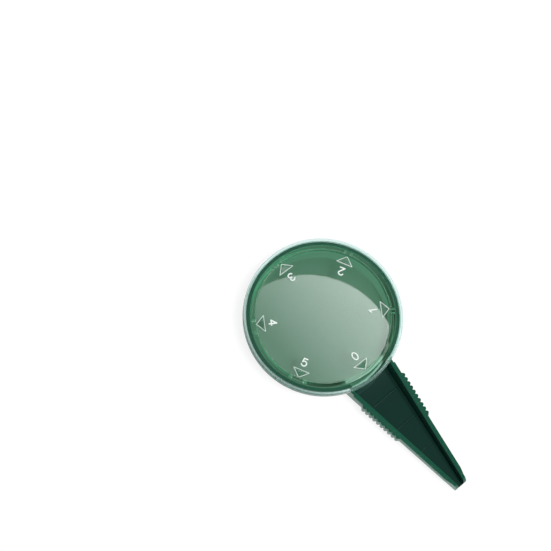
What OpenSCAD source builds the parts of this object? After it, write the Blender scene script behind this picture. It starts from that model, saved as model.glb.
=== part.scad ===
// Dial seed sower. A moulded green tray holds the seeds in a round pan and pours
// them down a tapered open chute. A clear dial lid snaps over the pan and turns on
// it: its gate ring closes the way to the chute at 0, and lets more seeds through
// a wider gate at each mark from 1 to 5.
// Millimetres. The origin is on the dial's axis at the flat underside, +X runs
// along the chute and +Z is up.

/* [Whole sower] */
// Outside diameter of the dial lid
lid_d = 65; // [62:0.5:70]
// Length from the back of the lid to the tip of the chute
overall_l = 119.5; // [112:0.5:130]
// Height from the flat underside to the top of the lid
overall_h = 14; // [13.5:0.1:17]
// Turn of the dial past its 0 mark at rest, in degrees
dial_turn = -2; // [-180:1:180]

/* [Running gaps] */
// Gap between the lid's round walls and the pan's
dial_gap = 0.3; // [0.2:0.05:0.4]
// Play between the lid's rim and the pan's rim
seat_gap = 0.1; // [0.05:0.05:0.2]
// Gap between the gate ring and the pan's floor
ring_floor_gap = 0.4; // [0.2:0.1:0.8]
// Gap between the chute's walls and the skirt that turns over them
skirt_pass_gap = 0.5; // [0.3:0.1:0.9]

/* [Dial lid] */
// Wall of the outer skirt
skirt_t = 1.1; // [0.9:0.1:1.4]
// Depth of the skirt below the top of the lid
skirt_h = 4.4; // [4:0.1:5.2]
// Thickness of the rim between the skirt and the number panel
rim_t = 1.3; // [1:0.1:1.6]
// Wall of the gate ring
ring_t = 1.7; // [1.3:0.1:2.2]
// Drop of the number panel below the top of the rim
panel_drop = 2; // [1.4:0.1:2.4]
// Thickness of the number panel
panel_t = 1.4; // [1:0.1:1.8]
// Rounding of the rim's outer edge
rim_edge_r = 0.8; // [0.4:0.1:1]
// Rounding of the lid's other edges
lid_edge_r = 0.3; // [0.15:0.05:0.4]
// Reach of the skirt's snap bead under the lip of the pan
bead_bite = 0.2; // [0.1:0.05:0.3]
// Height of the snap bead
bead_h = 0.9; // [0.6:0.1:1.1]

/* [Gates] */
// Width of the gate at mark 1
gate_first_w = 2; // [1.5:0.1:3]
// Width of the gate at mark 5
gate_last_w = 8; // [6:0.1:9]
// Height of the gate at mark 1
gate_first_h = 2.2; // [1.8:0.1:3]
// Height of the gate at mark 5
gate_last_h = 7; // [5.5:0.1:7.5]

/* [Pointers] */
// Length of each pointer, from its base to its apex
pointer_l = 3.5; // [2.5:0.1:4.5]
// Width of each pointer's base
pointer_w = 7.2; // [5:0.1:8]
// Gap between a pointer's apex and the step of the rim
pointer_gap = 0.1; // [0.05:0.05:1]
// Width of the raised border round each pointer
pointer_line = 0.35; // [0.25:0.05:0.5]
// Height of the raised border
pointer_rise = 0.2; // [0.1:0.05:0.4]
// Slope of each pointer's sunk face, in degrees
pointer_slope = 7; // [3:0.5:12]

/* [Pan] */
// Wall of the pan at its lip
pan_t = 1.6; // [1.3:0.1:2]
// Thickness of the floor of the pan and the chute
floor_t = 1.4; // [1:0.1:2]
// Height of the lip round the pan's rim
lip_h = 1.1; // [0.8:0.1:1.3]
// Rounding of the pan's foot
foot_r = 2.2; // [1:0.1:2.4]

/* [Chute] */
// Outside width of the chute at the pan's edge, at floor level
chute_root_w = 21; // [18:0.1:23]
// Outside width of the chute at its tip, at floor level
chute_tip_w = 4.9; // [4.4:0.1:7]
// Height of the chute's walls at the tip
chute_tip_h = 6; // [5:0.1:8]
// Thickness of the chute's walls
chute_t = 1.4; // [1.1:0.1:1.6]
// Outward lean of the chute's walls, in degrees
chute_lean = 3; // [0.5:0.5:4]
// Rounding of the walls' top corner at the tip
tip_r = 3; // [2:0.1:4]
// Rounding along the tops of the walls
wall_edge_r = 0.35; // [0.2:0.05:0.5]
// Rounding inside the chute between its floor and walls
fillet_r = 0.8; // [0.4:0.1:1.2]

/* [Grips and floor ridges] */
// Number of grip ribs on each side of the chute
rib_count = 10; // [6:1:12]
// Distance from one rib to the next
rib_pitch = 1.95; // [1.6:0.05:2.2]
// Radius of each rib
rib_r = 0.75; // [0.5:0.05:0.8]
// How far the ribs stand out from the wall
rib_out = 1; // [0.6:0.1:1.2]
// Distance from the dial's axis to the first rib
rib_start = 38.6; // [36:0.2:44]
// Distance from the tops of the ribs to the top of the wall
rib_drop = 0.6; // [0.3:0.1:2]
// Number of low ridges across the chute's floor
ridge_count = 3; // [1:1:4]
// Distance from the dial's axis to the first ridge
ridge_start = 40.5; // [38:0.5:46]
// Distance from one ridge to the next
ridge_pitch = 13; // [8:0.5:14]
// Height of each ridge
ridge_rise = 0.3; // [0.15:0.05:0.5]
// Width of each ridge
ridge_w = 0.9; // [0.6:0.1:1.5]

/* [Hidden] */
$fn = 96;
mark_count = 6;
mark_step = 360 / mark_count;
cut_margin = 1;                 // overshoot of a cutter past what it cuts
bury = 0.2;                     // how far a rib or fillet sinks into its wall
edge_steps = 5;                 // straight steps along a small rounded edge

// Radii, from the skirt inwards
lid_r = lid_d / 2;
skirt_in_r = lid_r - skirt_t;
lip_r = skirt_in_r - dial_gap;
bead_r = lip_r - bead_bite;
pan_r = bead_r - dial_gap;
pan_in_r = lip_r - pan_t;
ring_r = pan_in_r - dial_gap;
panel_r = ring_r - ring_t;

// Heights, from the top down
rim_under = overall_h - rim_t;
pan_top = rim_under - seat_gap;
lip_under = pan_top - lip_h;
panel_top = overall_h - panel_drop;
panel_under = panel_top - panel_t;
skirt_foot = overall_h - skirt_h;
bead_z = skirt_foot + lid_edge_r + bead_h / 2;
ring_foot = floor_t + ring_floor_gap;
chute_root_h = skirt_foot - skirt_pass_gap;

// The chute's run
root_x = pan_r;
tip_x = overall_l - lid_r;
run_l = tip_x - root_x;
taper = atan((chute_root_w - chute_tip_w) / 2 / run_l);
fall = atan((chute_root_h - chute_tip_h) / run_l);
back_l = root_x - pan_in_r * cos(asin(chute_root_w / 2 / pan_in_r)) + cut_margin;

// Points round a rounded edge: centre, radius, and the angles where it starts and ends
function edge(x, y, r, from, to) =
    [for (i = [0:edge_steps]) let (a = from + (to - from) * i / edge_steps) [x + r * cos(a), y + r * sin(a)]];

// ---- the seed tray: one green moulding ----

// Section of the pan: flat floor, rounded foot, upright wall and a snap lip at the rim
module pan_section() {
    polygon(concat(
        [[0, 0]],
        edge(pan_r - foot_r, foot_r, foot_r, -90, 0),
        [[pan_r, lip_under - (lip_r - pan_r)], [lip_r, lip_under]],
        edge(lip_r - wall_edge_r, pan_top - wall_edge_r, wall_edge_r, 0, 90),
        edge(pan_in_r + wall_edge_r, pan_top - wall_edge_r, wall_edge_r, 90, 180),
        [[pan_in_r, floor_t], [0, floor_t]]
    ));
}

// Puts a piece that runs along +X, with the wall's outer face at y = 0, on the left wall's line
module on_left_wall() {
    translate([root_x, chute_root_w / 2, 0])
        rotate([0, 0, -taper])
            rotate([-chute_lean, 0, 0])
                children();
}

// Left wall of the chute, with rounded top edges, falling towards the tip
module left_wall() {
    on_left_wall()
        translate([0, 0, chute_root_h])
            rotate([0, fall, 0])
                translate([-back_l, 0, 0])
                    rotate([90, 0, 90])
                        linear_extrude(run_l + back_l + chute_tip_w)
                            polygon(concat(
                                [[0, -overall_h]],
                                edge(-wall_edge_r, -wall_edge_r, wall_edge_r, 0, 90),
                                edge(wall_edge_r - chute_t, -wall_edge_r, wall_edge_r, 90, 180),
                                [[-chute_t, -overall_h]]
                            ));
}

// Fillet along the foot of the left wall, inside the chute
module left_fillet() {
    on_left_wall()
        translate([-back_l, -chute_t, floor_t])
            rotate([90, 0, 90])
                linear_extrude(run_l + back_l + chute_tip_w)
                    difference() {
                        translate([-fillet_r, -bury])
                            square([fillet_r + bury, fillet_r + bury]);
                        translate([-fillet_r, fillet_r])
                            circle(fillet_r);
                    }
}

// One grip rib: a half-sunk round bar with a domed top
module rib(height) {
    rotate_extrude()
        polygon(concat([[0, 0], [rib_r, 0]], edge(0, height - rib_r, rib_r, 0, 90)));
}

// The row of grip ribs on the left wall, each as tall as the wall is there
module left_ribs() {
    along = cos(taper);
    for (i = [0:rib_count - 1]) {
        x = (rib_start + i * rib_pitch - root_x) / along;
        wall_h = chute_root_h - x * tan(fall);
        on_left_wall()
            translate([x, rib_out - rib_r, -bury])
                rib(wall_h - rib_drop + bury);
    }
}

// Low ridges across the chute's floor
module ridges() {
    round_r = (ridge_w * ridge_w / 4 + ridge_rise * ridge_rise) / 2 / ridge_rise;
    for (i = [0:ridge_count - 1]) {
        x = ridge_start + i * ridge_pitch;
        width = chute_root_w - 2 * (x - root_x) * tan(taper) - chute_t;
        translate([x, 0, floor_t + ridge_rise - round_r])
            rotate([90, 0, 0])
                intersection() {
                    cylinder(r = round_r, h = width, center = true);
                    translate([0, round_r, 0])
                        cube([ridge_w + bury, 2 * (ridge_rise + bury), width], center = true);
                }
    }
}

// The chute: floor, two walls, their fillets and ribs, cut straight at the tip
module chute() {
    shoulder_z = chute_tip_h - tip_r;
    difference() {
        union() {
            linear_extrude(floor_t)
                polygon([
                    [0, (chute_t - chute_root_w) / 2 - root_x * tan(taper)],
                    [tip_x, (chute_t - chute_tip_w) / 2],
                    [tip_x, (chute_tip_w - chute_t) / 2],
                    [0, (chute_root_w - chute_t) / 2 + root_x * tan(taper)]
                ]);
            for (side = [0, 1])
                mirror([0, side, 0]) {
                    left_wall();
                    left_fillet();
                    left_ribs();
                }
            ridges();
        }
        translate([-lid_r, -lid_r, -overall_h])
            cube([overall_l + lid_r, lid_d, overall_h]);
        translate([tip_x, -lid_r, -cut_margin])
            cube([lid_r, lid_d, overall_h]);
        translate([0, 0, -cut_margin])
            cylinder(r = pan_in_r, h = overall_h + 2 * cut_margin);
        translate([tip_x - tip_r, 0, shoulder_z])
            rotate([90, 0, 0])
                translate([0, 0, -lid_r])
                    linear_extrude(lid_d)
                        difference() {
                            square(tip_r + cut_margin);
                            circle(tip_r);
                        }
    }
}

// The space between the chute's walls where it leaves the pan
module outlet() {
    intersection() {
        for (side = [0, 1])
            mirror([0, side, 0])
                on_left_wall()
                    translate([-back_l, -chute_t - chute_root_w / 2, 0])
                        cube([back_l + chute_root_w, chute_root_w / 2, overall_h + cut_margin]);
        translate([0, -lid_r, floor_t])
            cube([lid_d, lid_d, overall_h]);
    }
}

module seed_tray() {
    color("#155a3f")
    union() {
        difference() {
            rotate_extrude()
                pan_section();
            outlet();
        }
        chute();
    }
}

// ---- the dial lid: one clear moulding ----

// Section of the lid: number panel, rim, outer skirt with its snap bead, and gate ring
module lid_section() {
    polygon(concat(
        [[0, panel_top], [panel_r, panel_top]],
        edge(panel_r + lid_edge_r, overall_h - lid_edge_r, lid_edge_r, 180, 90),
        edge(lid_r - rim_edge_r, overall_h - rim_edge_r, rim_edge_r, 90, 0),
        edge(lid_r - lid_edge_r, skirt_foot + lid_edge_r, lid_edge_r, 0, -90),
        edge(skirt_in_r + lid_edge_r, skirt_foot + lid_edge_r, lid_edge_r, -90, -180),
        [[bead_r, bead_z], [skirt_in_r, bead_z + bead_h / 2], [skirt_in_r, rim_under], [ring_r, rim_under]],
        edge(ring_r - lid_edge_r, ring_foot + lid_edge_r, lid_edge_r, 0, -90),
        edge(panel_r + lid_edge_r, ring_foot + lid_edge_r, lid_edge_r, -90, -180),
        [[panel_r, panel_under], [0, panel_under]]
    ));
}

// Arched gate through the gate ring, open at the ring's foot
module gate(width, height) {
    translate([panel_r - cut_margin, 0, ring_foot])
        rotate([90, 0, 90])
            linear_extrude(ring_t + cut_margin + dial_gap) {
                translate([-width / 2, -cut_margin])
                    square([width, height - width / 2 + cut_margin]);
                translate([0, height - width / 2])
                    circle(d = width);
            }
}

// Triangle of a pointer, drawn in by the given width on every side
module pointer_outline(inset) {
    half_apex = atan(pointer_w / 2 / pointer_l);
    length = pointer_l - inset - inset / sin(half_apex);
    half_base = length * tan(half_apex);
    translate([inset, 0])
        polygon([[0, -half_base], [length, 0], [0, half_base]]);
}

// Places a pointer's base on the number panel
module at_pointer() {
    translate([panel_r - pointer_gap - pointer_l, 0, panel_top])
        children();
}

module dial_lid() {
    gates = mark_count - 1;
    color("#d5ece2", 0.4)
    rotate([0, 0, dial_turn])
    difference() {
        union() {
            rotate_extrude()
                lid_section();
            for (mark = [0:mark_count - 1])
                rotate([0, 0, mark * mark_step])
                    at_pointer()
                        translate([0, 0, -bury])
                            linear_extrude(pointer_rise + bury)
                                pointer_outline(0);
        }
        for (mark = [0:mark_count - 1])
            rotate([0, 0, mark * mark_step])
                at_pointer()
                    rotate([0, pointer_slope, 0])
                        linear_extrude(panel_drop)
                            pointer_outline(pointer_line);
        for (mark = [1:gates]) {
            share = (mark - 1) / (gates - 1);
            rotate([0, 0, mark * mark_step])
                gate(
                    gate_first_w + (gate_last_w - gate_first_w) * share,
                    gate_first_h + (gate_last_h - gate_first_h) * share
                );
        }
    }
}

seed_tray();
dial_lid();
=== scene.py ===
import math

import bpy
from mathutils import Euler, Matrix, Vector


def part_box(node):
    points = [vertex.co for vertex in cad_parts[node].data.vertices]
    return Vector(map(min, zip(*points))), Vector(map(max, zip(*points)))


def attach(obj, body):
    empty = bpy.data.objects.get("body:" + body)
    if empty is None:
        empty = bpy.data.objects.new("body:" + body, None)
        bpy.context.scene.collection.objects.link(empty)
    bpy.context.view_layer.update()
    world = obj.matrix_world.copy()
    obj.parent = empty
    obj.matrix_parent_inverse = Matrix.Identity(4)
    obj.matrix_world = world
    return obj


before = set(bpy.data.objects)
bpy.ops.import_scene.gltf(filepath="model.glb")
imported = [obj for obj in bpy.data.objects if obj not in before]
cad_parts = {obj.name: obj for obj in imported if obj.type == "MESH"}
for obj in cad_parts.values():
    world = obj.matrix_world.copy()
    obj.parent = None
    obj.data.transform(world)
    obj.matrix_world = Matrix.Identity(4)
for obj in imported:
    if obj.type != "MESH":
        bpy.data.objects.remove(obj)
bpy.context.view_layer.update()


# ---- The seed tray ----
# One injection moulding in dark green plastic: the round pan under the dial and the open
# chute with its grip ribs. It is moulded with a soft gloss, so it shows faint flow marks
# and a fine skin. The dial snaps over its lip.

# The pan and the chute, as the CAD has them. CHUTE_TAPER, _LEAN and _FALL are slopes.
MM = 0.001
PAN_R = 30.6 * MM
CHUTE_HALF_IN = 9.1 * MM
CHUTE_HALF_OUT = 10.5 * MM
CHUTE_TAPER = 0.1427
CHUTE_LEAN = 0.0524
CHUTE_WALL_H = 9.1 * MM
CHUTE_FALL = 0.055

# Its greens: two that drift into each other along the flow, and painted light and shade:
# paler greens on the pan's floor, under its gate ring, on its outlet's sill and on the
# walls' outsides, and a darker one in the chute.
TRAY_DEEP = (0.0045, 0.068, 0.038, 1)
TRAY_FRESH = (0.007, 0.087, 0.05, 1)
TRAY_OUTSIDE_PAINTED_LIT = (0.028, 0.2, 0.13, 1)
TRAY_PAN_PAINTED_LIT = (0.1, 0.222, 0.15, 1)
TRAY_UNDER_RING_PAINTED_LIT = (0.095, 0.40, 0.23, 1)
TRAY_SILL_PAINTED_LIT = (0.42, 0.62, 0.52, 1)
CHUTE_PAINTED_SHADE_DEEP = (0.0032, 0.028, 0.02, 1)
CHUTE_PAINTED_SHADE_FRESH = (0.004, 0.033, 0.024, 1)

# The bands in which one of these places turns into the next.
PAN_IN_BAND = (29.5 * MM, 29.8 * MM)
PAN_EDGE_BAND = (28.2 * MM, 28.8 * MM)
PAN_OUTSIDE_BAND = (PAN_R - 0.2 * MM, PAN_R - 0.05 * MM)
SILL_BAND = (27.4 * MM, 27.6 * MM)
SILL_END_BAND = (9.2 * MM, 9.7 * MM)
CHUTE_IN_BAND = (-0.25 * MM, 0.05 * MM)
CHUTE_TOP_BAND = (0.2 * MM, 0.6 * MM)
CHUTE_ROOT_BAND = (-1.5 * MM, 0)
CHUTE_START_BAND = (0, 1 * MM)
OUTSIDE_BAND = (-0.6 * MM, -0.2 * MM)
OUTSIDE_TOP_BAND = (0.25 * MM, 0.6 * MM)

# Its gloss, as roughness, and its flow marks and skin, in waves per metre.
TRAY_GLOSS = 0.24
TRAY_GLOSS_DRIFT = 0.06
FLOW_MIDDLE = 0.5
OUTSIDE_SATIN = 0.08
CHUTE_SHINE = 0.17
TRAY_FLOW_SCALE = 55
TRAY_SKIN_SCALE = 2600
TRAY_SKIN_DEPTH = 0.0012 * MM
TRAY_IOR = 1.5


class Wire:
    """One output of a material's nodes. Arithmetic on it, either way round, adds Math nodes."""

    def __init__(self, tree, socket=None):
        self.tree = tree
        self.socket = socket

    def node(self, kind, settings=(), sockets=(), output=0):
        """Adds a node of that type: its settings first, then its sockets' values or links."""
        made = self.tree.nodes.new(kind)
        for name, value in dict(settings).items():
            setattr(made, name, value)
        for name, value in dict(sockets).items():
            if isinstance(value, Wire):
                self.tree.links.new(value.socket, made.inputs[name])
            else:
                made.inputs[name].default_value = value
        return Wire(self.tree, None if output is None else made.outputs[output])

    def reckon(self, operation, a, b):
        return self.node("ShaderNodeMath", {"operation": operation}, {0: a, 1: b})

    def __add__(self, other):
        return self.reckon("ADD", self, other)

    def __radd__(self, other):
        return self.reckon("ADD", other, self)

    def __sub__(self, other):
        return self.reckon("SUBTRACT", self, other)

    def __rsub__(self, other):
        return self.reckon("SUBTRACT", other, self)

    def __mul__(self, other):
        return self.reckon("MULTIPLY", self, other)

    def __rmul__(self, other):
        return self.reckon("MULTIPLY", other, self)

    def __pow__(self, other):
        return self.reckon("POWER", self, other)

    def __rpow__(self, other):
        return self.reckon("POWER", other, self)

    def __gt__(self, other):
        return self.reckon("GREATER_THAN", self, other)

    def __lt__(self, other):
        return self.reckon("LESS_THAN", self, other)

    def __abs__(self):
        return self.reckon("ABSOLUTE", self, 0)

    def higher(self, other):
        """The higher one of two values."""
        return self.reckon("MAXIMUM", self, other)

    def fade(self, start, stop):
        """0 at start and 1 at stop, smooth between them."""
        return self.node(
            "ShaderNodeMapRange",
            {"interpolation_type": "SMOOTHSTEP"},
            {0: self, 1: start, 2: stop, 3: 0, 4: 1},
        )

    def blend(self, low, high):
        """A colour between low and high, by this value."""
        return self.node(
            "ShaderNodeMix", {"data_type": "RGBA"}, {0: self, 6: low, 7: high}, 2
        )

    def layer(self, under, over):
        """The shader under with the shader over laid on it, by this value."""
        return self.node("ShaderNodeMixShader", (), {0: self, 1: under, 2: over})

    def bump(self, depth):
        """The surface's normal where this value, times depth in metres, raises it."""
        return self.node(
            "ShaderNodeBump", (), {"Height": self, "Strength": 1, "Distance": depth}
        )


def bare_nodes(owner):
    """Empties the nodes of a material or a room, and gives the Wire that adds new ones."""
    owner.use_nodes = True
    owner.node_tree.nodes.clear()
    return Wire(owner.node_tree)


def on_piece(nodes, scale, detail=3, roughness=0.5):
    """Cloudy noise that stays on the piece as it moves. scale is in waves per metre."""
    place = nodes.node("ShaderNodeTexCoord", output="Object")
    return nodes.node(
        "ShaderNodeTexNoise",
        {"noise_dimensions": "3D"},
        {"Vector": place, "Scale": scale, "Detail": detail, "Roughness": roughness},
    )


def axes_of(nodes):
    """The piece's own X, Y and Z at a point, in metres."""
    place = nodes.node("ShaderNodeTexCoord", output="Object")
    split = nodes.node("ShaderNodeSeparateXYZ", (), {0: place})
    return [Wire(nodes.tree, out) for out in split.socket.node.outputs]


green_plastic = bpy.data.materials.new("green_plastic_moulded")
nodes = bare_nodes(green_plastic)
flow = on_piece(nodes, TRAY_FLOW_SCALE)
skin = on_piece(nodes, TRAY_SKIN_SCALE, detail=1)
x, y, z = axes_of(nodes)
from_axis = (x * x + y * y) ** 0.5

# The pan: its floor, the strip under the gate ring and the sill of its outlet. They are
# painted paler than the tray's green, as painted light: on the floor for the light that
# comes through the lid, under the ring for the light carried down the clear ring near the
# shaded wall, and on the sill for the light coming in where the wall opens to the chute.
in_pan = 1 - from_axis.fade(*PAN_IN_BAND)
under_ring = from_axis.fade(*PAN_EDGE_BAND)
on_sill = from_axis.fade(*SILL_BAND) * (x > 0) * (1 - abs(y).fade(*SILL_END_BAND))
pan_painted_light = on_sill.blend(under_ring.blend(TRAY_PAN_PAINTED_LIT, TRAY_UNDER_RING_PAINTED_LIT), TRAY_SILL_PAINTED_LIT)

# The chute's inside, between its walls and below their tops. Its darker green is painted
# shade, for the shade that falls between the walls.
beyond = x - PAN_R
between = CHUTE_HALF_IN - beyond * CHUTE_TAPER + z * CHUTE_LEAN - abs(y)
below = CHUTE_WALL_H - beyond * CHUTE_FALL - z
in_chute = between.fade(*CHUTE_IN_BAND) * below.fade(*CHUTE_TOP_BAND) * (1 - in_pan)
in_chute = in_chute * beyond.fade(*CHUTE_ROOT_BAND)
chute_painted_shade = flow.blend(CHUTE_PAINTED_SHADE_DEEP, CHUTE_PAINTED_SHADE_FRESH)

# The outsides of the chute's walls and the pan's, below their tops. Their paler green is
# painted light, for the light that the white table throws back onto them.
beside = abs(y) - CHUTE_HALF_OUT + beyond * CHUTE_TAPER - z * CHUTE_LEAN
along_chute = beyond.fade(*CHUTE_START_BAND)
outside = beside.fade(*OUTSIDE_BAND) * along_chute
outside = outside + from_axis.fade(*PAN_OUTSIDE_BAND) * (1 - along_chute)
outside = outside * below.fade(*OUTSIDE_TOP_BAND)
open_green_and_painted_light = outside.blend(flow.blend(TRAY_DEEP, TRAY_FRESH), TRAY_OUTSIDE_PAINTED_LIT)

gloss = TRAY_GLOSS + (flow - FLOW_MIDDLE) * TRAY_GLOSS_DRIFT - in_chute * CHUTE_SHINE
surface = nodes.node(
    "ShaderNodeBsdfPrincipled",
    (),
    {
        "Base Color": in_chute.blend(in_pan.blend(open_green_and_painted_light, pan_painted_light), chute_painted_shade),
        "Roughness": gloss + outside * OUTSIDE_SATIN,
        "IOR": TRAY_IOR,
        "Normal": skin.bump(TRAY_SKIN_DEPTH),
    },
)
nodes.node("ShaderNodeOutputMaterial", (), {"Surface": surface}, None)

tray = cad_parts["seed_tray"]
tray.data.materials[0] = green_plastic


# ---- The chute's grips ----
# The chute's walls are thicker at their tops than at their feet, and swell into a pad with
# ten ribs where finger and thumb hold the sower. They are moulded with the tray, in the
# same green plastic.

# Lengths in millimetres. GRIP_STEP is the distance between a grip's sections. A grip
# covers the wall's top by GRIP_COVER, and its foot is sunk in the wall by GRIP_SUNK.
GRIP_FROM = 32.2
GRIP_TO = 84.4
GRIP_STEP = 0.15
GRIP_FADE = 3.0
GRIP_COVER = 0.04
GRIP_SUNK = 0.3
GRIP_FOOT = 0.1
WALL_T = 1.4
WALL_SWELL = 0.5
WALL_DRAFT = 0.4
PAD_FROM = 37.5
PAD_TO = 57.3
PAD_SWELL = 0.85
RIB_START = 38.6
RIB_PITCH = 1.95
RIB_COUNT = 10
RIB_R = 0.8
RIB_SEAT = 0.7

# The rounding of the wall's top edge, and shares of it: where the middle of the rounding
# lies, and how far the grip laps over the wall's inside.
WALL_EDGE = 0.35
EDGE_MIDDLE = 0.3
EDGE_LAP_IN = 0.5
EDGE_LAP_DOWN = 2
GRIP_CREASE = math.radians(35)


def swell(x):
    """How far a grip stands out from the wall, at its top, x mm from the dial's axis."""
    out = WALL_SWELL * min(1, (GRIP_TO - x) / GRIP_FADE)
    if PAD_FROM < x < PAD_TO:
        out = PAD_SWELL
    for i in range(RIB_COUNT):
        off = abs(x - RIB_START - i * RIB_PITCH)
        if off < RIB_R:
            out = max(out, RIB_SEAT + math.sqrt(RIB_R ** 2 - off ** 2))
    return out


def set_out(name, data):
    """A new object in the scene, with that mesh, lamp or camera."""
    made = bpy.data.objects.new(name, data)
    bpy.context.scene.collection.objects.link(made)
    return made


for side, name in ((1, "chute_grip_left"), (-1, "chute_grip_right")):
    corners = []
    faces = []
    steps = round((GRIP_TO - GRIP_FROM) / GRIP_STEP)
    for i in range(steps + 1):
        x = GRIP_FROM + i * GRIP_STEP
        top = CHUTE_WALL_H / MM - (x - PAN_R / MM) * CHUTE_FALL + GRIP_COVER
        foot = CHUTE_HALF_OUT / MM - (x - PAN_R / MM) * CHUTE_TAPER
        out = swell(x)
        outline = (
            (-GRIP_SUNK, GRIP_FOOT),
            (out - WALL_DRAFT, GRIP_FOOT),
            (out - WALL_DRAFT * WALL_EDGE / top, top - WALL_EDGE),
            (out - EDGE_MIDDLE * WALL_EDGE, top - EDGE_MIDDLE * WALL_EDGE),
            (out - WALL_EDGE, top),
            (WALL_EDGE - WALL_T, top),
            (EDGE_MIDDLE * WALL_EDGE - WALL_T, top - EDGE_MIDDLE * WALL_EDGE),
            (EDGE_LAP_IN * WALL_EDGE - WALL_T, top - EDGE_LAP_DOWN * WALL_EDGE),
        )
        n = len(outline)
        for off, z in outline:
            corners.append((x * MM, side * (foot + off + z * CHUTE_LEAN) * MM, z * MM))
        if i:
            for j in range(n):
                k = (j + 1) % n
                face = (i * n - n + j, i * n + j, i * n + k, i * n - n + k)
                faces.append(face[::-side])
    ends = [list(range(n)), list(range(len(corners) - 1, len(corners) - 1 - n, -1))]
    faces += [end[::-side] for end in ends]
    shape = bpy.data.meshes.new(name)
    shape.from_pydata(corners, [], faces)
    shape.shade_smooth()
    shape.set_sharp_from_angle(angle=GRIP_CREASE)
    shape.materials.append(green_plastic)
    grip = set_out(name, shape)
    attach(grip, "tray")


# ---- The dial lid ----
# One injection moulding in clear, faintly cool plastic: the sunk number panel, its rim,
# the outer skirt and the gate ring. It is polished, with light handling marks. Its skirt
# snaps under the pan's lip, and it turns there.

LID_TINT = (0.90, 0.975, 0.945, 1)
LID_SHADE = (0.97, 0.99, 0.98, 1)
LID_IOR = 1.59
LID_POLISH = 0.004
LID_HANDLING = 0.012
LID_HANDLING_SCALE = 90
LID_WAVE_SCALE = 60
LID_WAVE_DEPTH = 0.0015 * MM
RIM_R = 29.9 * MM
RIM_BAND = (12.1 * MM, 13.8 * MM)
RIM_SLOPE = -0.1
SKIRT_TINT = (0.78, 0.96, 0.93, 1)
SKIRT_BAND = (29.7 * MM, 31.4 * MM)
SKIRT_HAZE = (0.6, 0.9, 0.84, 1)
SKIRT_SATIN = 0.07
SATIN_BAND = (31.2 * MM, 31.4 * MM)

# Light caught inside the plastic: past DEEP_AFTER bounces it goes straight on, tinted, and
# past RING_AFTER bounces the gate ring glows green instead, a painted glow that stands in
# for the lit pan seen down the ring.
DEEP_AFTER = 3.5
DEEP_TINT = (0.5, 0.72, 0.58, 1)
RING_AFTER = 2.5
RING_PAINTED_GLOW = (0.09, 0.265, 0.158, 1)
RING_OUT_BAND = (29.2 * MM, 29.4 * MM)
RING_TOP_BAND = (10.4 * MM, 10.6 * MM)


def ray_is(nodes, question):
    """What the Light Path node says of a ray, such as Is Shadow Ray or Ray Depth."""
    return nodes.node("ShaderNodeLightPath", output=question)


clear_plastic = bpy.data.materials.new("clear_plastic_polished")
nodes = bare_nodes(clear_plastic)
handled = on_piece(nodes, LID_HANDLING_SCALE, detail=5, roughness=0.7)
wave = on_piece(nodes, LID_WAVE_SCALE, detail=1)
x, y, z = axes_of(nodes)
from_axis = (x * x + y * y) ** 0.5

# The polished plastic, with slow waves, a crowned rim and a faintly hazy skirt.
crown = (from_axis - RIM_R) * RIM_SLOPE * z.fade(*RIM_BAND)
surface = nodes.node(
    "ShaderNodeBsdfPrincipled",
    (),
    {
        "Base Color": from_axis.fade(*SKIRT_BAND).blend(LID_TINT, SKIRT_TINT),
        "Roughness": LID_POLISH + handled * LID_HANDLING,
        "IOR": LID_IOR,
        "Transmission Weight": 1,
        "Normal": (wave * LID_WAVE_DEPTH + crown).bump(1),
    },
)
haze = nodes.node("ShaderNodeBsdfDiffuse", (), {"Color": SKIRT_HAZE})
surface = (from_axis.fade(*SATIN_BAND) * SKIRT_SATIN).layer(surface, haze)

# Light caught in the gate ring is replaced by a painted green glow, standing in for the lit
# pan seen through it. Elsewhere it goes straight on, and so do the lamps' rays, which light
# the pan through the lid.
bounces = ray_is(nodes, "Ray Depth")
in_ring = (1 - from_axis.fade(*RING_OUT_BAND)) * (1 - z.fade(*RING_TOP_BAND))
ring_painted_glow = nodes.node("ShaderNodeEmission", (), {"Color": RING_PAINTED_GLOW})
surface = (in_ring * (bounces > RING_AFTER)).layer(surface, ring_painted_glow)
lamp_ray = ray_is(nodes, "Is Shadow Ray")
deep = nodes.node("ShaderNodeBsdfTransparent", (), {"Color": DEEP_TINT})
lit_through = nodes.node("ShaderNodeBsdfTransparent", (), {"Color": LID_SHADE})
straight_on = lamp_ray.layer(deep, lit_through)
surface = lamp_ray.higher(bounces > DEEP_AFTER).layer(surface, straight_on)
nodes.node("ShaderNodeOutputMaterial", (), {"Surface": surface}, None)
clear_plastic.cycles.emission_sampling = "NONE"

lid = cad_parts["dial_lid"]
lid.data.materials[0] = clear_plastic


# ---- The numbers and pointers on the dial ----
# Plain numbers 0 to 5 and the lines round the six pointers, moulded on the number panel
# with a frosted face. The numbers read with their tops towards the dial's axis. All turn
# with the dial.

# Strokes are laid out in millimetres, sunk in the panel by SEATED, and placed in metres.
MARK_COUNT = 6
DIAL_TURN = math.radians(-2)
PANEL_DROP = 2 * MM
SEATED = 0.05
NUMBER_AT = 20.6 * MM
NUMBER_HALF_W = 1.05
NUMBER_HALF_H = 1.55
NUMBER_LINE = 0.29
NUMBER_RISE = 0.22
POINTER_AT = 23.9 * MM
POINTER_L = 3.5
POINTER_W = 7.2
POINTER_RISE = 0.2 * MM
POINTER_LINE = 0.10
POINTER_CREST = 0.06
FROST = (0.95, 0.99, 0.97, 1)
FROST_THIN = (0.80, 0.92, 0.87, 1)
FROST_ROUGH = 0.45
FROST_ROUGH_DRIFT = 0.2
FROST_GRAIN = 3000
FROST_DEPTH = 0.02 * MM

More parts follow.
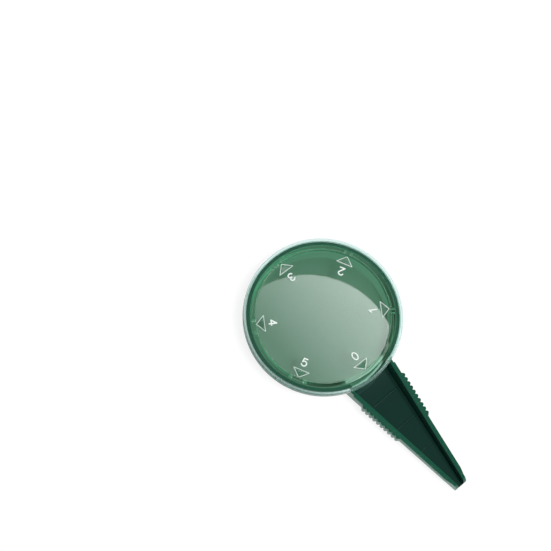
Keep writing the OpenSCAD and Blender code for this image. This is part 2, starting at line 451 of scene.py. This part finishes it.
# A stroke's section, in shares of its half width and its height, and the turns at which
# its round ends are cut, in degrees.
RIDGE_PROFILE = (
    (-1, 0), (-0.93, 0.5), (-0.7, 0.87), (-0.3, 1), (0.3, 1), (0.7, 0.87), (0.93, 0.5), (1, 0)
)
END_TURNS = (80, 55, 28)


def bend(x, y, rx, ry, start, stop, steps=20):
    """Points along part of an ellipse, from one angle to another in degrees."""
    turns = [math.radians(start + (stop - start) * i / steps) for i in range(steps + 1)]
    return [(x + rx * math.cos(t), y + ry * math.sin(t)) for t in turns]


# The strokes of 0 to 5, in shares of a number's half width and half height.
w = NUMBER_HALF_W
h = NUMBER_HALF_H
number_strokes = [
    [bend(0, 0, 0.95 * w, h, 90, 270), bend(0, 0, 0.95 * w, h, 270, 450)],
    [[(0.25 * w, h), (0.25 * w, -h)], [(0.25 * w, h), (-0.75 * w, 0.4 * h)]],
    [
        bend(0, 0.48 * h, 0.92 * w, 0.52 * h, 165, -30) + [(-0.95 * w, -h)],
        [(-0.95 * w, -h), (0.95 * w, -h)],
    ],
    [
        bend(0, 0.5 * h, 0.85 * w, 0.5 * h, 160, -90),
        bend(0, -0.48 * h, 0.95 * w, 0.52 * h, 90, -160),
    ],
    [
        [(0.4 * w, h), (0.4 * w, -h)],
        [(0.4 * w, h), (-w, -0.4 * h)],
        [(-w, -0.4 * h), (w, -0.4 * h)],
    ],
    [
        bend(-0.05 * w, -0.34 * h, w, 0.66 * h, 136, -155),
        [(-0.62 * w, h), (-0.8 * w, 0)],
        [(-0.62 * w, h), (0.8 * w, h)],
    ],
]
slant = math.atan2(POINTER_W / 2, POINTER_L)
tip = POINTER_L - POINTER_LINE / math.sin(slant)
side = (tip - POINTER_LINE) * math.tan(slant)
pointer_strokes = [
    [(POINTER_LINE, -side), (POINTER_LINE, side)],
    [(POINTER_LINE, side), (tip, 0)],
    [(tip, 0), (POINTER_LINE, -side)],
]

frosted = bpy.data.materials.new("clear_plastic_frosted")
nodes = bare_nodes(frosted)
speckle = on_piece(nodes, FROST_GRAIN, detail=2)
surface = nodes.node(
    "ShaderNodeBsdfPrincipled",
    (),
    {
        "Base Color": speckle.blend(FROST_THIN, FROST),
        "Roughness": FROST_ROUGH + FROST_ROUGH_DRIFT * speckle,
        "IOR": LID_IOR,
        "Normal": speckle.bump(FROST_DEPTH),
    },
)
nodes.node("ShaderNodeOutputMaterial", (), {"Surface": surface}, None)


def end_section(at, along, half, degrees):
    """Where a stroke's round end is cut: the place, the way it runs and the width's share."""
    turn = math.radians(degrees)
    return at + along * half * math.sin(turn), along, math.cos(turn)


def ridge(points, half, rise):
    """One raised stroke along points, with a rounded crest, round ends and a flat foot."""
    path = [Vector(p) for p in points]
    ahead = path[1:] + path[-1:]
    behind = path[:1] + path[:-1]
    along = [(b - a).normalized() for a, b in zip(behind, ahead)]
    sections = [end_section(path[0], along[0], half, -a) for a in END_TURNS]
    sections += [(p, t, 1) for p, t in zip(path, along)]
    sections += [end_section(path[-1], along[-1], half, a) for a in reversed(END_TURNS)]
    corners = []
    for p, t, share in sections:
        for u, v in RIDGE_PROFILE:
            out = p + Vector((-t.y, t.x)) * (u * half * share)
            corners.append((out.x, out.y, v * rise * math.sqrt(share) - SEATED))
    n = len(RIDGE_PROFILE)
    faces = []
    for i in range(len(sections) - 1):
        for j in range(n):
            k = (j + 1) % n
            faces.append((i * n + j, i * n + k, i * n + n + k, i * n + n + j))
    faces += [list(range(n - 1, -1, -1)), list(range(len(corners) - n, len(corners)))]
    return corners, faces


def raised_piece(name, strokes, half, rise, place):
    """Strokes fused into one shell, set on the number panel."""
    parts = []
    for stroke in strokes:
        shape = bpy.data.meshes.new(name)
        corners, faces = ridge(stroke, half, rise)
        shape.from_pydata(corners, [], faces)
        parts.append(set_out(name, shape))
    whole = parts[0]
    for part in parts[1:]:
        joined = whole.modifiers.new("joined", "BOOLEAN")
        joined.operation = "UNION"
        joined.solver = "EXACT"
        joined.object = part
    bpy.context.view_layer.update()
    fused = bpy.data.meshes.new_from_object(
        whole.evaluated_get(bpy.context.evaluated_depsgraph_get())
    )
    for part in parts:
        bpy.data.objects.remove(part)
    fused.name = name
    fused.transform(place @ Matrix.Scale(MM, 4))
    fused.materials.clear()
    fused.materials.append(frosted)
    for face in fused.polygons:
        face.use_smooth = True
    piece = set_out(name, fused)
    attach(piece, "dial")


lid_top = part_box("dial_lid")[1].z
panel_top = lid_top - PANEL_DROP
to_axis = Matrix.Rotation(math.pi / 2, 4, "Z")
for mark, strokes in enumerate(number_strokes):
    turn = Matrix.Rotation(2 * math.pi * mark / MARK_COUNT + DIAL_TURN, 4, "Z")
    number_place = turn @ (Matrix.Translation((NUMBER_AT, 0, panel_top)) @ to_axis)
    pointer_place = turn @ Matrix.Translation((POINTER_AT, 0, panel_top + POINTER_RISE))
    number = "number_" + str(mark)
    pointer = "pointer_" + str(mark)
    raised_piece(number, strokes, NUMBER_LINE, NUMBER_RISE, number_place)
    raised_piece(pointer, pointer_strokes, POINTER_LINE, POINTER_CREST, pointer_place)


# ---- The studio table ----
# A plain white sweep under the sower, lit to white, which keeps the soft shadow. The
# room around it is white too. Neither is part of the sower.

FLOOR_R = 1.2
FLOOR_SIDES = 60
FLOOR_DROP = 0.15 * MM
FLOOR_WHITE = (0.92, 0.92, 0.92, 1)
FLOOR_GLOW = 1.06
FLOOR_GLOW_FAR = 0.22
FLOOR_GLOW_BAND = (0.15, 0.5)
FLOOR_SHADOW = 0.2
TABLE_NEAR = 0.46
TABLE_NEAR_Y = -0.034
ROOM_WHITE = 1.0
ROOM_FILL = 0.3
CEILING_GREY = 0.17
CEILING_BAND = (0.2, 0.6)
ANY_BOUNCE = 0.5

floor_mesh = bpy.data.meshes.new("floor")
ring = bend(0, 0, FLOOR_R, FLOOR_R, 0, 360, FLOOR_SIDES)[:-1]
floor_mesh.from_pydata([(x, y, -FLOOR_DROP) for x, y in ring], [], [list(range(len(ring)))])
floor = set_out("floor", floor_mesh)

paper = bpy.data.materials.new("white_paper")
nodes = bare_nodes(paper)
x, y, _ = axes_of(nodes)
from_axis = (x * x + y * y) ** 0.5
matt = nodes.node("ShaderNodeBsdfDiffuse", (), {"Color": FLOOR_WHITE})

# To the camera the sweep is white and keeps a share of its shadow. It gets whiter far
# out, where it meets the room.
white = FLOOR_GLOW + from_axis.fade(*FLOOR_GLOW_BAND) * FLOOR_GLOW_FAR
white = nodes.node("ShaderNodeEmission", (), {"Color": white})
lit = nodes.node("ShaderNodeMixShader", (), {0: FLOOR_SHADOW, 1: white, 2: matt})

# What the plastic mirrors or shows through it is a sweep that darkens on the near side:
# painted shade, as if the table's near side lay in shade.
gloom = nodes.node("ShaderNodeMapRange", (), {0: y, 1: TABLE_NEAR_Y, 2: 0, 3: TABLE_NEAR, 4: 1})
sweep = nodes.node("ShaderNodeEmission", (), {"Color": gloom})
by_plastic = ray_is(nodes, "Is Glossy Ray") + ray_is(nodes, "Is Transmission Ray")
surface = ray_is(nodes, "Is Camera Ray").layer(by_plastic.layer(matt, sweep), lit)
nodes.node("ShaderNodeOutputMaterial", (), {"Surface": surface}, None)
paper.cycles.emission_sampling = "NONE"
floor_mesh.materials.append(paper)

# The room is white to the camera. Its ceiling is grey to the plastic, and it fills the
# shadows only a little.
room = bpy.data.worlds.new("white_room")
bpy.context.scene.world = room
nodes = bare_nodes(room)
way = nodes.node("ShaderNodeTexCoord", output="Generated")
height = nodes.node("ShaderNodeSeparateXYZ", (), {0: way}, "Z")
ceiling = height.fade(*CEILING_BAND)
walls = ROOM_WHITE + ceiling * (CEILING_GREY - ROOM_WHITE)
walls = walls.higher(ray_is(nodes, "Is Camera Ray"))
seen = nodes.node("ShaderNodeBackground", (), {"Color": walls})
fill = nodes.node("ShaderNodeBackground", (), {"Color": (ROOM_FILL, ROOM_FILL, ROOM_FILL, 1)})
around = (ray_is(nodes, "Diffuse Depth") > ANY_BOUNCE).layer(seen, fill)
nodes.node("ShaderNodeOutputWorld", (), {"Surface": around}, None)


# ---- The lamps ----
# A broad softbox lights the sower from high beyond the chute's tip. A round one, with one
# side cut off, hangs where the flat number panel mirrors it to the camera as the pale
# shape on the dial.

KEY_AT = Vector((0.28, 0.08, 0.85))
KEY_AIM = Vector((0.02, 0, 0))
KEY_SIZE = 0.3
KEY_POWER = 6.0
DISC_AT = Vector((-0.0489, 0.1229, 0.600))
DISC_R = 0.0679
DISC_SIDES = 120
DISC_CUT = 0.031
DISC_LOW = 0.5
DISC_MID = 0.95
DISC_RISE = 2.5

key = bpy.data.lights.new("softbox", "AREA")
key.shape = "DISK"
key.size = KEY_SIZE
key.energy = KEY_POWER
key_lamp = set_out("softbox", key)
key_lamp.location = KEY_AT
key_lamp.visible_glossy = False
key_lamp.visible_transmission = False
key_lamp.rotation_euler = (KEY_AT - KEY_AIM).to_track_quat("Z", "Y").to_euler()

disc_mesh = bpy.data.meshes.new("round_softbox")
ring = bend(0, 0, DISC_R, DISC_R, 0, 360, DISC_SIDES)[:-1]
disc_mesh.from_pydata([(min(x, DISC_CUT), y, 0) for x, y in ring], [], [list(range(len(ring)))])
disc = set_out("round_softbox", disc_mesh)
disc.location = DISC_AT
disc.visible_camera = False

# Its cloth gets brighter towards +Y, and is nowhere darker than DISC_LOW over the ceiling.
cloth = bpy.data.materials.new("softbox_cloth")
nodes = bare_nodes(cloth)
_, y, _ = axes_of(nodes)
rise = DISC_MID + y * (DISC_RISE / DISC_R)
glow = nodes.node("ShaderNodeEmission", (), {"Color": CEILING_GREY + rise.higher(DISC_LOW)})
nodes.node("ShaderNodeOutputMaterial", (), {"Surface": glow}, None)
disc_mesh.materials.append(cloth)


# ---- The camera ----
# It stands where the photograph was taken: 0.7 m from the sower, nearly overhead, with a
# long lens. The glossy filter is off, because it loses what the number panel mirrors.

CAMERA_AT = (0.07776, -0.1727, 0.67441)
CAMERA_TURN = (15.753, -5.358, 49.699)
CAMERA_LENS = 111.5
CAMERA_SENSOR = 36

eye = bpy.data.cameras.new("camera")
eye.lens = CAMERA_LENS
eye.sensor_width = CAMERA_SENSOR
camera = set_out("camera", eye)
camera.location = CAMERA_AT
camera.rotation_euler = Euler([math.radians(a) for a in CAMERA_TURN])
bpy.context.scene.camera = camera
bpy.context.scene.view_settings.view_transform = "Standard"
bpy.context.scene.cycles.blur_glossy = 0
